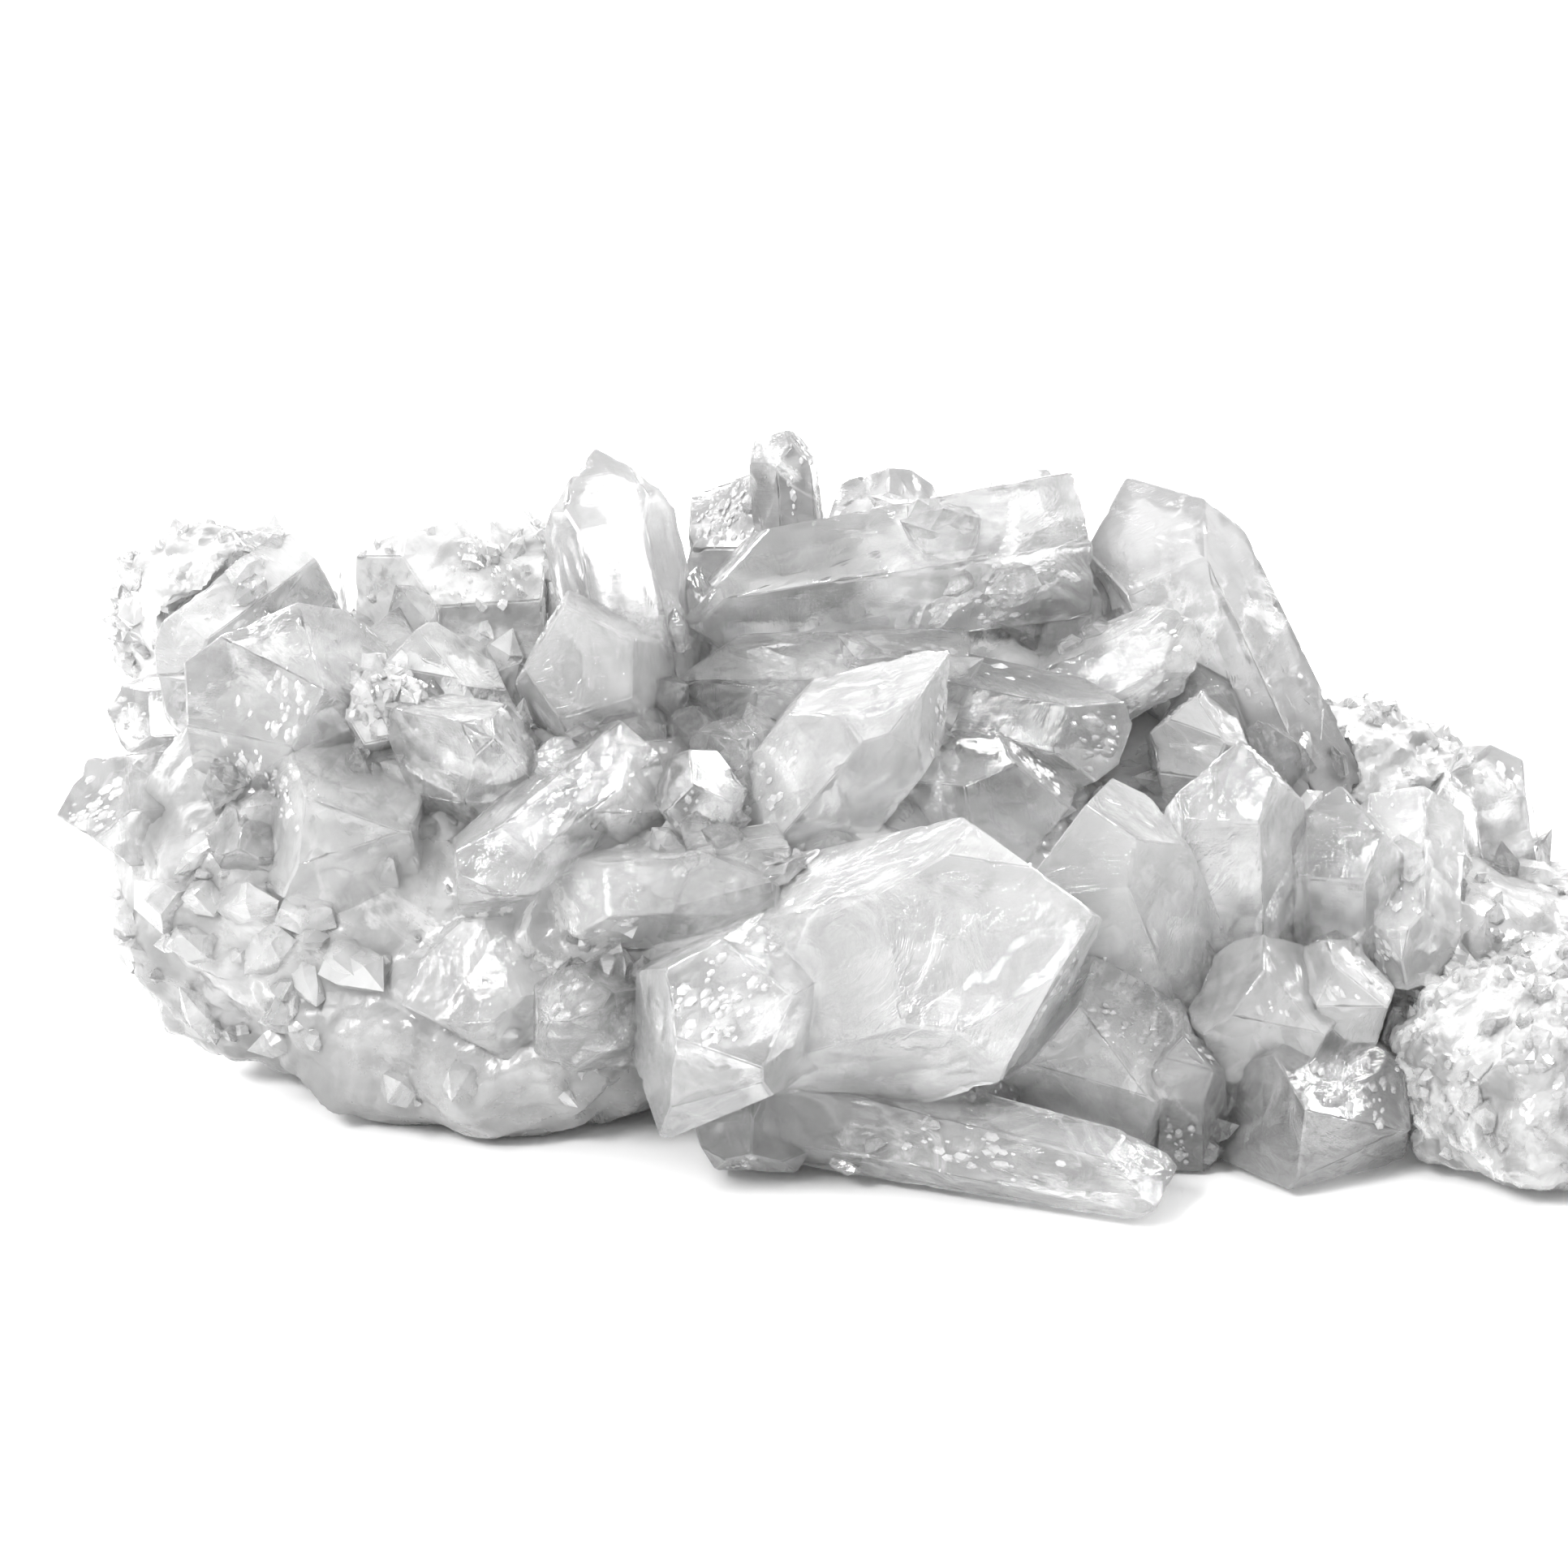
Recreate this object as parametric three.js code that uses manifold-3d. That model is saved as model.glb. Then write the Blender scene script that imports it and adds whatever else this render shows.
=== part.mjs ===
// Quartz crystal cluster: blocky and pointed crystals that grow outwards from one lumpy mass of quartz.
// Millimetres. +X runs along the cluster, +Y goes to its back and +Z is up. The origin is on the
// surface that the cluster rests on, under the middle of its box.
import * as THREE from "three";
import { mergeVertices } from "three/addons/utils/BufferGeometryUtils.js";
import Module from "manifold-3d";

const wasm = await Module();
wasm.setup();
const { degToRad } = THREE.MathUtils;

// Driving dimensions.
const touchGap = 0.3; // left between two pieces that grew against each other
const restClearance = 1.2; // the crystals stay this far above the resting surface
const endFaceLean = degToRad(51.8); // quartz's end faces, measured from the crystal's long axis
const prismTaper = degToRad(2); // a crystal narrows slightly towards its tip
const blankSize = 120; // the block that every crystal is cut from
const lumpDetail = 4; // how finely a lump's surface is divided
const smallestFeature = 0.02; // edges shorter than this are closed up after a cut
const samePoint = 1e-4; // corners closer than this are one corner
const wornLean = new THREE.Vector3(0.25, 0.15, 1).normalize(); // a worn tip slopes a little
const waveCounts = [5, 6, 5]; // how many waves cross a lump along X, Y and Z
const waveHeight = 0.12; // as a part of the lump's half size

// The ways a crystal can end. minor moves every second end face out, so that it is smaller than
// its neighbours. chisel moves out all but two opposite end faces, which meet in a ridge. worn cuts
// the tip off. All are parts of the crystal's width.
const pointed = { minor: 0.1 };
const threeSided = { minor: 0.3 };
const chiselled = { chisel: 0.22 };
const blunt = { minor: 0.18, worn: 0.3 };
const broken = { chisel: 0.15, worn: 0.45 };

// What the pieces are made of.
const clearQuartz = { color: 0xe6e8e8, roughness: 0.08, metalness: 0 };
const milkyQuartz = { color: 0xd5d6d6, roughness: 0.35, metalness: 0 };
const matrixQuartz = { color: 0xb9bbbb, roughness: 0.6, metalness: 0 };

// The lumps that join into the mass: centre, half size and where the waves on its surface start.
const massLumps = [
  { centre: [-47, -4, 20], half: [26, 19, 21], wave: 1 },
  { centre: [-28, -3, 16], half: [26, 25, 19], wave: 2 },
  { centre: [2, -1, 15], half: [29, 26, 20], wave: 3 },
  { centre: [32, 0, 11], half: [27, 25, 17], wave: 4 },
  { centre: [57, -1, 9], half: [19, 21, 13], wave: 5 },
  { centre: [2, 13, 34], half: [28, 13, 12], wave: 6 },
  { centre: [-42, 13, 30], half: [22, 12, 12], wave: 7 },
  { centre: [36, 10, 24], half: [15, 12, 10], wave: 8 },
  { centre: [-43, -19, 9], half: [13, 8, 9], wave: 12 },
  { centre: [-33, -22, 8], half: [12, 8, 8], wave: 13 },
];

// Granular lumps that are pieces of their own.
const grainyLumps = [
  { name: "left_massive_lump", centre: [-64, 19, 39], half: [11, 9, 10], wave: 9 },
  { name: "back_right_grainy_lump", centre: [52, 15, 23], half: [12, 9, 8], wave: 10 },
  { name: "right_end_grainy_lump", centre: [66, -25, 8], half: [15, 17, 11], wave: 11 },
];

// The crystals, in the order in which they give way to each other: one further down the lists is cut
// where it meets one above it. foot is the middle of the root. bearing is the way it leans, seen from
// above: 0 is right, 90 back, 180 left, 270 front. rise is its angle above level, and spin turns it
// about its own axis. shift moves its tip off that axis, as parts of its width, and flat narrows it
// from one face to the opposite face.
const frontCrystals = [
  {
    name: "biggest_front_crystal",
    foot: [-10, -22, 13], bearing: 325, rise: 25, length: 43, across: 24, spin: 15,
    end: pointed, shift: [0, 0.05],
  },
  {
    name: "front_clear_block",
    foot: [-4, -18, 16], bearing: 246, rise: 5, length: 36, across: 20, spin: 30,
    end: blunt, shift: [0.1, 0.1], flat: 0.85,
  },
  {
    name: "upright_milky_crystal",
    foot: [32, -15, 5], bearing: 230, rise: 62, length: 38, across: 18, spin: 30,
    end: threeSided, shift: [0.15, 0.1], quartz: milkyQuartz,
  },
  {
    name: "sloping_face_crystal",
    foot: [28, -16, 4], bearing: 252, rise: 28, length: 28, across: 20, spin: 0,
    end: blunt, quartz: milkyQuartz,
  },
  {
    name: "long_front_left_crystal",
    foot: [-25, -15, 34], bearing: 236, rise: -12, length: 23, across: 11, spin: 25,
    end: blunt, flat: 0.8,
  },
  {
    name: "head_on_crystal",
    foot: [-47, -3, 25], bearing: 260, rise: 20, length: 27, across: 18, spin: 30,
    end: blunt, quartz: milkyQuartz,
  },
  {
    name: "pale_low_crystal",
    foot: [-20, -17, 16], bearing: 205, rise: 0, length: 26, across: 16, spin: 15,
    end: pointed, quartz: milkyQuartz,
  },
  {
    name: "lying_rounded_crystal",
    foot: [-10, -22, 26], bearing: 190, rise: 0, length: 21, across: 11, spin: 0,
    end: blunt, flat: 0.9,
  },
  {
    name: "flecked_small_crystal",
    foot: [-19, -22, 13], bearing: 235, rise: 15, length: 20, across: 10, spin: 40,
    end: pointed,
  },
  {
    name: "low_front_prism",
    foot: [8, -18, 8], bearing: 282, rise: 3, length: 22, across: 10, spin: 10,
    end: blunt, quartz: milkyQuartz,
  },
  {
    name: "long_base_crystal",
    foot: [-4, -32, 7], bearing: 340, rise: -5, length: 36, across: 10, spin: 15,
    end: chiselled, quartz: milkyQuartz,
  },
  {
    name: "short_base_crystal",
    foot: [-8, -20, 6], bearing: 265, rise: -2, length: 20, across: 12, spin: 0,
    end: pointed, quartz: milkyQuartz,
  },
];

const middleCrystals = [
  {
    name: "long_centre_crystal",
    foot: [-8, -10, 26], bearing: 335, rise: 52, length: 26, across: 15, spin: 10,
    end: chiselled, shift: [0.1, 0.1],
  },
  {
    name: "window_crystal",
    foot: [-22, 0, 30], bearing: 240, rise: 60, length: 24, across: 14, spin: 35,
    end: threeSided,
  },
  {
    name: "tall_clear_point",
    foot: [-20, 0, 34], bearing: 135, rise: 75, length: 29, across: 13, spin: 20,
    end: pointed,
  },
  {
    name: "centre_slab",
    foot: [-19, -6, 30], bearing: 238, rise: 12, length: 20, across: 15, spin: 5,
    end: chiselled, flat: 0.85,
  },
  {
    name: "dark_facet_crystal",
    foot: [6, -8, 30], bearing: 320, rise: 10, length: 20, across: 13, spin: 30,
    end: threeSided,
  },
  {
    name: "light_lying_slab",
    foot: [4, -2, 38], bearing: 345, rise: -5, length: 26, across: 13, spin: 0,
    end: blunt, flat: 0.75,
  },
  {
    name: "lying_wedge",
    foot: [8, 0, 38], bearing: 184, rise: 2, length: 26, across: 12, spin: 30,
    end: chiselled,
  },
  {
    name: "fractured_small_crystal",
    foot: [-6, -6, 31], bearing: 225, rise: 30, length: 14, across: 8, spin: 0,
    end: broken,
  },
  {
    name: "deep_gap_crystal",
    foot: [-7, -15, 23], bearing: 260, rise: 15, length: 14, across: 7, spin: 20,
    end: pointed,
  },
  {
    name: "centre_gap_crystal",
    foot: [-14, -8, 28], bearing: 265, rise: 30, length: 18, across: 9, spin: 10,
    end: threeSided,
  },
];

const topCrystals = [
  {
    name: "long_tabular_crystal",
    foot: [19, 12, 49], bearing: 192, rise: -5, length: 38, across: 17, spin: 20,
    end: chiselled, shift: [0.1, 0], flat: 0.85,
  },
  {
    name: "top_knob",
    foot: [-6, 16, 47], bearing: 110, rise: 78, length: 14, across: 7, spin: 0,
    end: blunt,
  },
  {
    name: "back_dome_left",
    foot: [-8, 19, 38], bearing: 100, rise: 75, length: 19, across: 16, spin: 15,
    end: blunt, quartz: milkyQuartz,
  },
  {
    name: "back_dome_right",
    foot: [4, 21, 38], bearing: 90, rise: 78, length: 18, across: 12, spin: 0,
    end: blunt, quartz: milkyQuartz,
  },
  {
    name: "top_ridge_slab",
    foot: [10, 17, 45], bearing: 15, rise: 35, length: 15, across: 9, spin: 20,
    end: chiselled,
  },
  {
    name: "right_shoulder_crystal",
    foot: [22, 8, 34], bearing: 100, rise: 78, length: 18, across: 11, spin: 0,
    end: pointed,
  },
  {
    name: "bright_rounded_crystal",
    foot: [24, 3, 38], bearing: 345, rise: 30, length: 14, across: 9, spin: 10,
    end: blunt,
  },
];

const leftCrystals = [
  {
    name: "big_left_block",
    foot: [-52, -4, 22], bearing: 240, rise: 78, length: 31, across: 23, spin: 0,
    end: blunt, shift: [0.1, 0], quartz: milkyQuartz,
  },
  {
    name: "glassy_left_point",
    foot: [-58, -4, 28], bearing: 190, rise: 0, length: 21, across: 12, spin: 20,
    end: threeSided,
  },
  {
    name: "rounded_ledge_crystal",
    foot: [-60, 8, 33], bearing: 190, rise: 0, length: 16, across: 9, spin: 0,
    end: blunt,
  },
  {
    name: "drooping_grey_crystal",
    foot: [-58, 16, 44], bearing: 215, rise: -25, length: 16, across: 9, spin: 30,
    end: pointed, quartz: milkyQuartz,
  },
  {
    name: "back_left_shard",
    foot: [-54, 22, 34], bearing: 100, rise: 70, length: 14, across: 8, spin: 0,
    end: broken, quartz: milkyQuartz,
  },
  {
    name: "left_gap_shard",
    foot: [-57, -8, 28], bearing: 262, rise: 8, length: 16, across: 8, spin: 0,
    end: pointed,
  },
  {
    name: "white_massive_crystal",
    foot: [-39, 14, 32], bearing: 100, rise: 75, length: 23, across: 20, spin: 10,
    end: broken, quartz: milkyQuartz,
  },
  {
    name: "white_shoulder_crystal",
    foot: [-30, 14, 32], bearing: 80, rise: 70, length: 18, across: 12, spin: 0,
    end: blunt, quartz: milkyQuartz,
  },
  {
    name: "mid_left_block",
    foot: [-38, -2, 31], bearing: 235, rise: 60, length: 19, across: 14, spin: 20,
    end: blunt, quartz: milkyQuartz,
  },
  {
    name: "left_crest_shard",
    foot: [-34, -10, 30], bearing: 240, rise: 45, length: 19, across: 12, spin: 0,
    end: chiselled,
  },
  {
    name: "left_middle_shard",
    foot: [-45, -6, 32], bearing: 265, rise: 50, length: 18, across: 9, spin: 15,
    end: threeSided, quartz: milkyQuartz,
  },
];

const rightCrystals = [
  {
    name: "tall_right_crystal",
    foot: [42, 8, 25], bearing: 158, rise: 64, length: 35, across: 17, spin: -8,
    end: threeSided,
  },
  {
    name: "twin_left_crystal",
    foot: [38, -15, 6], bearing: 250, rise: 80, length: 36, across: 15, spin: 10,
    end: threeSided, shift: [0.1, 0.1],
  },
  {
    name: "twin_right_crystal",
    foot: [48, -13, 6], bearing: 260, rise: 78, length: 30, across: 13, spin: 0,
    end: blunt,
  },
  {
    name: "right_mid_block",
    foot: [40, -14, 5], bearing: 268, rise: 36, length: 26, across: 15, spin: 0,
    end: blunt, quartz: milkyQuartz,
  },
  {
    name: "bright_drop_crystal",
    foot: [55, -9, 25], bearing: 266, rise: -30, length: 18, across: 10, spin: 15,
    end: pointed,
  },
  {
    name: "right_low_block",
    foot: [44, -18, 3], bearing: 272, rise: 10, length: 24, across: 19, spin: 30,
    end: blunt, quartz: milkyQuartz,
  },
  {
    name: "round_knob_crystal",
    foot: [32, -29, 2], bearing: 265, rise: 60, length: 16, across: 8, spin: 0,
    end: blunt, quartz: milkyQuartz,
  },
  {
    name: "right_second_block",
    foot: [46, -12, 6], bearing: 272, rise: 35, length: 24, across: 12, spin: 10,
    end: blunt, quartz: milkyQuartz,
  },
  {
    name: "right_upright_crystal",
    foot: [66, 4, 10], bearing: 150, rise: 80, length: 22, across: 11, spin: 20,
    end: blunt,
  },
  {
    name: "right_end_point",
    foot: [62, 2, 9], bearing: 355, rise: 28, length: 20, across: 10, spin: 0,
    end: pointed, quartz: milkyQuartz,
  },
  {
    name: "pocket_crystal",
    foot: [56, -12, 8], bearing: 250, rise: 15, length: 16, across: 6, spin: 0,
    end: pointed,
  },
  {
    name: "right_middle_crystal",
    foot: [36, 2, 26], bearing: 250, rise: 60, length: 15, across: 10, spin: 0,
    end: blunt, quartz: milkyQuartz,
  },
];

const backCrystals = [
  {
    name: "back_left_point",
    foot: [-42, 16, 20], bearing: 112, rise: 25, length: 28, across: 14, spin: 0,
    end: pointed, quartz: milkyQuartz,
  },
  {
    name: "back_middle_block",
    foot: [-12, 18, 18], bearing: 92, rise: 18, length: 26, across: 17, spin: 20,
    end: blunt, quartz: milkyQuartz,
  },
  {
    name: "back_right_point",
    foot: [22, 18, 17], bearing: 72, rise: 24, length: 27, across: 14, spin: 10,
    end: threeSided, quartz: milkyQuartz,
  },
  {
    name: "back_end_point",
    foot: [54, 12, 8], bearing: 45, rise: 15, length: 24, across: 11, spin: 0,
    end: pointed, quartz: milkyQuartz,
  },
];

// A solid from a closed geometry, by its positions alone.
function solidFrom(geometry) {
  const bare = geometry.clone();
  bare.deleteAttribute("normal");
  bare.deleteAttribute("uv");
  const merged = mergeVertices(bare, samePoint);
  return new wasm.Manifold(
    new wasm.Mesh({
      numProp: 3,
      vertProperties: new Float32Array(merged.attributes.position.array),
      triVerts: new Uint32Array(merged.index.array),
    }),
  );
}

// A geometry from a solid, with one flat normal to each triangle.
function geometryFrom(solid) {
  const { vertProperties, triVerts } = solid.getMesh();
  const indexed = new THREE.BufferGeometry();
  indexed.setAttribute("position", new THREE.BufferAttribute(vertProperties, 3));
  indexed.setIndex(new THREE.BufferAttribute(triVerts, 1));
  const flatSided = indexed.toNonIndexed();
  flatSided.computeVertexNormals();
  return flatSided;
}

// The biggest body of a solid. Crumbs that a cut leaves behind are dropped.
function biggestBody(solid) {
  const bodies = solid.decompose();
  return bodies.reduce((best, body) => (body.volume() > best.volume() ? body : best));
}

// Where a crystal stands: its foot, and the turn that takes +Z to the way it leans.
function placeOf({ foot, bearing, rise, spin }) {
  const turn = new THREE.Quaternion()
    .setFromAxisAngle(new THREE.Vector3(0, 0, 1), degToRad(bearing))
    .multiply(
      new THREE.Quaternion().setFromAxisAngle(new THREE.Vector3(0, 1, 0), degToRad(90 - rise)),
    )
    .multiply(new THREE.Quaternion().setFromAxisAngle(new THREE.Vector3(0, 0, 1), degToRad(spin)));
  const position = new THREE.Vector3(...foot);
  const matrix = new THREE.Matrix4().compose(position, turn, new THREE.Vector3(1, 1, 1));
  return { position, turn, matrix };
}

// How far end face k is moved out from the tip.
function endFaceOffset(end, k, across) {
  if (end.chisel) return k % 3 === 0 ? 0 : end.chisel * across;
  return k % 2 === 0 ? 0 : end.minor * across;
}

// The faces of a crystal in its own frame, foot at the origin and tip along +Z: six prism faces, six
// end faces that lean in to the tip, the root, and the worn face where the tip is cut off.
function crystalFaces({ length, across, end, shift = [0, 0], flat = 1 }) {
  const half = across / 2;
  const tip = new THREE.Vector3(shift[0] * across, shift[1] * across, length);
  const faces = [new THREE.Plane(new THREE.Vector3(0, 0, -1), 0)];
  for (let k = 0; k < 6; k++) {
    const around = (k * Math.PI) / 3;
    const outward = new THREE.Vector3(Math.cos(around), Math.sin(around), 0);
    const prism = outward.clone().multiplyScalar(Math.cos(prismTaper));
    prism.z = Math.sin(prismTaper);
    const reach = k % 3 === 0 ? half * flat : half;
    faces.push(new THREE.Plane(prism, -reach * Math.cos(prismTaper)));
    const leaning = outward.clone().multiplyScalar(Math.sin(endFaceLean));
    leaning.z = Math.cos(endFaceLean);
    faces.push(new THREE.Plane(leaning, -leaning.dot(tip) - endFaceOffset(end, k, across)));
  }
  if (end.worn) {
    faces.push(new THREE.Plane(wornLean.clone(), -wornLean.dot(tip) + end.worn * half));
  }
  return faces;
}

// A crystal as a solid where it stands. Every face is moved out by grow.
function crystalSolid(crystal, grow) {
  const { matrix } = placeOf(crystal);
  const blank = new THREE.BoxGeometry(blankSize, blankSize, blankSize).applyMatrix4(matrix);
  let solid = solidFrom(blank);
  for (const face of crystalFaces(crystal)) {
    const placed = face.clone().applyMatrix4(matrix);
    solid = solid.trimByPlane(placed.normal.clone().negate().toArray(), placed.constant - grow);
  }
  return solid;
}

// A lump as a solid: a ball stretched to its half sizes, its surface raised and lowered by three
// crossing waves, then moved out by grow.
function lumpSolid({ centre, half, wave }, grow) {
  const ball = new THREE.IcosahedronGeometry(1, lumpDetail);
  const positions = ball.attributes.position;
  const direction = new THREE.Vector3();
  for (let i = 0; i < positions.count; i++) {
    direction.fromBufferAttribute(positions, i);
    const ripple =
      Math.sin(waveCounts[0] * direction.x + 2 * wave) *
      Math.sin(waveCounts[1] * direction.y + 3 * wave) *
      Math.sin(waveCounts[2] * direction.z + wave);
    const swell = 1 + waveHeight * ripple;
    positions.setXYZ(
      i,
      centre[0] + direction.x * (half[0] * swell + grow),
      centre[1] + direction.y * (half[1] * swell + grow),
      centre[2] + direction.z * (half[2] * swell + grow),
    );
  }
  return solidFrom(ball);
}

// Everything above a level.
function above(solid, level) {
  return solid.trimByPlane([0, 0, 1], level);
}

function joined(solids) {
  return solids.reduce((sum, solid) => sum.add(solid));
}

function meshOf(name, geometry, finish) {
  const mesh = new THREE.Mesh(geometry, new THREE.MeshStandardMaterial(finish));
  mesh.name = name;
  return mesh;
}

const cluster = new THREE.Group();

// The mass is flat underneath, where it rests.
const mass = above(joined(massLumps.map((lump) => lumpSolid(lump, 0))), 0);
cluster.add(meshOf("quartz_mass", geometryFrom(mass.simplify(smallestFeature)), matrixQuartz));

// Everything that is already in place, grown by the gap.
let taken = joined(massLumps.map((lump) => lumpSolid(lump, touchGap)));

const crystals = [
  ...frontCrystals,
  ...middleCrystals,
  ...topCrystals,
  ...leftCrystals,
  ...rightCrystals,
  ...backCrystals,
];
for (const crystal of crystals) {
  const free = above(crystalSolid(crystal, 0).subtract(taken), restClearance);
  const kept = biggestBody(free).simplify(smallestFeature);
  taken = taken.add(crystalSolid(crystal, touchGap));
  const { position, turn, matrix } = placeOf(crystal);
  const geometry = geometryFrom(kept).applyMatrix4(matrix.invert());
  const mesh = meshOf(crystal.name, geometry, crystal.quartz ?? clearQuartz);
  mesh.position.copy(position);
  mesh.quaternion.copy(turn);
  cluster.add(mesh);
}

for (const lump of grainyLumps) {
  const free = above(lumpSolid(lump, 0).subtract(taken), restClearance);
  const kept = biggestBody(free).simplify(smallestFeature);
  taken = taken.add(lumpSolid(lump, touchGap));
  cluster.add(meshOf(lump.name, geometryFrom(kept), milkyQuartz));
}

// The middle of the cluster's box is put over the origin.
const box = new THREE.Box3().setFromObject(cluster, true);
const middle = box.getCenter(new THREE.Vector3());
cluster.position.set(-middle.x, -middle.y, -box.min.z);

export default cluster;
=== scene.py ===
import math

import bmesh
import bpy
import numpy as np
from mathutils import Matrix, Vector


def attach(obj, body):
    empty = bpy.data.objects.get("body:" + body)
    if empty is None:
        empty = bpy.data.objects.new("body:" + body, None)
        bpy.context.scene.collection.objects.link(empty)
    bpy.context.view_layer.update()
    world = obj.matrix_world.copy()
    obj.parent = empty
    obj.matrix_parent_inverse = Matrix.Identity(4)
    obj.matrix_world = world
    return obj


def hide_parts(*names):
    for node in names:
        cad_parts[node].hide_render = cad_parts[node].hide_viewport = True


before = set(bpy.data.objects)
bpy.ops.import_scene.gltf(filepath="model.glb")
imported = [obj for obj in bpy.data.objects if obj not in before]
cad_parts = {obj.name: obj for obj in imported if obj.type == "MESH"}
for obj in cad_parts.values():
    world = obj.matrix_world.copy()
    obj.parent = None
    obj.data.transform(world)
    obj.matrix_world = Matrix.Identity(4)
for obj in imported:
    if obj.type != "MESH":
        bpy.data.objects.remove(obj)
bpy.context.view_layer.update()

# Quartz crystal cluster. Metres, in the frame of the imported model: +X right, +Y back, +Z up.
# Each crystal's faces are read from its CAD node and cut afresh, with growth steps and worn edges.

mm = 0.001
rng = np.random.default_rng(41)

lumpNodes = ["quartz_mass", "left_massive_lump", "back_right_grainy_lump", "right_end_grainy_lump"]
milkyNodes = [
    "upright_milky_crystal", "sloping_face_crystal", "head_on_crystal", "pale_low_crystal",
    "low_front_prism", "long_base_crystal", "short_base_crystal", "back_dome_left",
    "back_dome_right", "big_left_block", "drooping_grey_crystal", "back_left_shard",
    "white_massive_crystal", "white_shoulder_crystal", "mid_left_block", "left_middle_shard",
    "right_mid_block", "right_low_block", "round_knob_crystal", "right_second_block",
    "right_end_point", "right_middle_crystal", "back_left_point", "back_middle_block",
    "back_right_point", "back_end_point",
]
clearNodes = [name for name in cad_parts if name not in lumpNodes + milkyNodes]

# crystals whose finish is duller, greyer, whiter or brighter than the others of their kind. On the base
# crystals long_base_crystal and short_base_crystal the greyer finish is painted shade: they are darkened
# because they sit low, in shadow
dullNodes = ["tall_right_crystal", "back_dome_left", "back_dome_right", "top_knob"]
greyAndShadedNodes = [
    "tall_clear_point", "big_left_block", "rounded_ledge_crystal", "glassy_left_point",
    "left_gap_shard", "right_low_block", "round_knob_crystal", "long_base_crystal",
    "short_base_crystal", "low_front_prism", "deep_gap_crystal", "right_upright_crystal",
    "right_shoulder_crystal",
]
whiteNodes = ["white_massive_crystal", "white_shoulder_crystal", "left_middle_shard"]
brightNodes = [
    "biggest_front_crystal", "upright_milky_crystal", "head_on_crystal", "pale_low_crystal",
    "lying_rounded_crystal", "mid_left_block", "bright_drop_crystal",
    "bright_rounded_crystal", "centre_slab", "long_centre_crystal", "window_crystal",
]


# each vector divided by its length
def unit(vectors):
    return vectors / np.maximum(np.linalg.norm(vectors, axis=-1, keepdims=True), 1e-12)


# value noise: a hash of each lattice corner, blended smoothly between the eight corners round the point
def noise3(points, seed=0.0):
    cell = np.floor(points)
    part = points - cell
    part = part * part * (3 - 2 * part)
    total = np.zeros(points.shape[:-1])
    for corner in np.ndindex(2, 2, 2):
        key = np.sin((cell + corner) @ np.array([127.1, 311.7, 74.7]) + 17.3 * seed) * 43758.5453
        total += (key - np.floor(key)) * np.where(np.array(corner) == 1, part, 1 - part).prod(-1)
    return total


# a turn that keeps the noise's lattice off the axes
noiseTurn = np.array([[0.36, 0.48, -0.8], [-0.8, 0.6, 0.0], [0.48, 0.64, 0.6]])


# the sum of layers of value noise, each twice as fine and half as high as the last
def layeredNoise(points, layers=4, seed=0.0):
    turned = points @ noiseTurn
    return sum(0.5 ** (k + 1) * noise3(turned * 2**k, seed + k) for k in range(layers))


def stepUp(value, low, high):  # 0 below low, 1 above high, and straight between them
    return np.clip((value - low) / (high - low), 0, 1)


# smooth shading, with a crease where two faces meet at more than the angle, in degrees
def sharpen(piece, angle):
    piece.data.shade_smooth()
    piece.data.set_sharp_from_angle(angle=math.radians(angle))


# an object from points and faces, with its place in its mesh
def meshObject(name, points, faces, sharpAngle=28):
    mesh = bpy.data.meshes.new(name)
    mesh.from_pydata(points.tolist(), [], faces if isinstance(faces, list) else faces.tolist())
    mesh.validate()
    piece = bpy.data.objects.new(name, mesh)
    bpy.context.scene.collection.objects.link(piece)
    sharpen(piece, sharpAngle)
    return piece


# points closer than the gap become one, and the faces turn outwards
def mergeClose(piece, gap):
    work = bmesh.new()
    work.from_mesh(piece.data)
    bmesh.ops.remove_doubles(work, verts=work.verts, dist=gap)
    bmesh.ops.recalc_face_normals(work, faces=work.faces)
    work.to_mesh(piece.data)
    work.free()


# a map with two values for each point, written to every face corner that uses the point
def writeMap(piece, name, perPoint):
    layer = piece.data.uv_layers.new(name=name)
    corner = np.zeros(len(piece.data.loops), np.int32)
    piece.data.loops.foreach_get("vertex_index", corner)
    layer.data.foreach_set("uv", perPoint[corner].astype(np.float32).ravel())


# triangles of a CAD node as an array: triangle, corner, xyz
def nodeTriangles(name):
    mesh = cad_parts[name].data
    mesh.calc_loop_triangles()
    points = np.zeros(len(mesh.vertices) * 3)
    mesh.vertices.foreach_get("co", points)
    corners = np.zeros(len(mesh.loop_triangles) * 3, np.int32)
    mesh.loop_triangles.foreach_get("vertices", corners)
    return points.reshape(-1, 3)[corners].reshape(-1, 3, 3)


# a node's outer faces: the planes of its triangles that the whole node lies behind.
# A row holds the normal, the distance from the origin and the area
def outerPlanes(triangles):
    cross = np.cross(triangles[:, 1] - triangles[:, 0], triangles[:, 2] - triangles[:, 0])
    area = np.linalg.norm(cross, axis=1) / 2
    big = area > 0.02 * mm * mm
    normal, area, triangles = unit(cross[big]), area[big], triangles[big]
    offset = (normal * triangles.mean(1)).sum(1)
    outer = (triangles.reshape(-1, 3) @ normal.T).max(0) - offset < 0.03 * mm
    normal, offset, area = normal[outer], offset[outer], area[outer]
    planes = []
    while len(normal):
        same = (normal @ normal[0] > 0.9995) & (abs(offset - offset[0]) < 0.1 * mm)
        share = area[same]
        mean = unit((normal[same] * share[:, None]).sum(0))
        planes.append([*mean, (offset[same] * share).sum() / share.sum(), share.sum()])
        normal, offset, area = normal[~same], offset[~same], area[~same]
    return np.array(planes)


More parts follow.
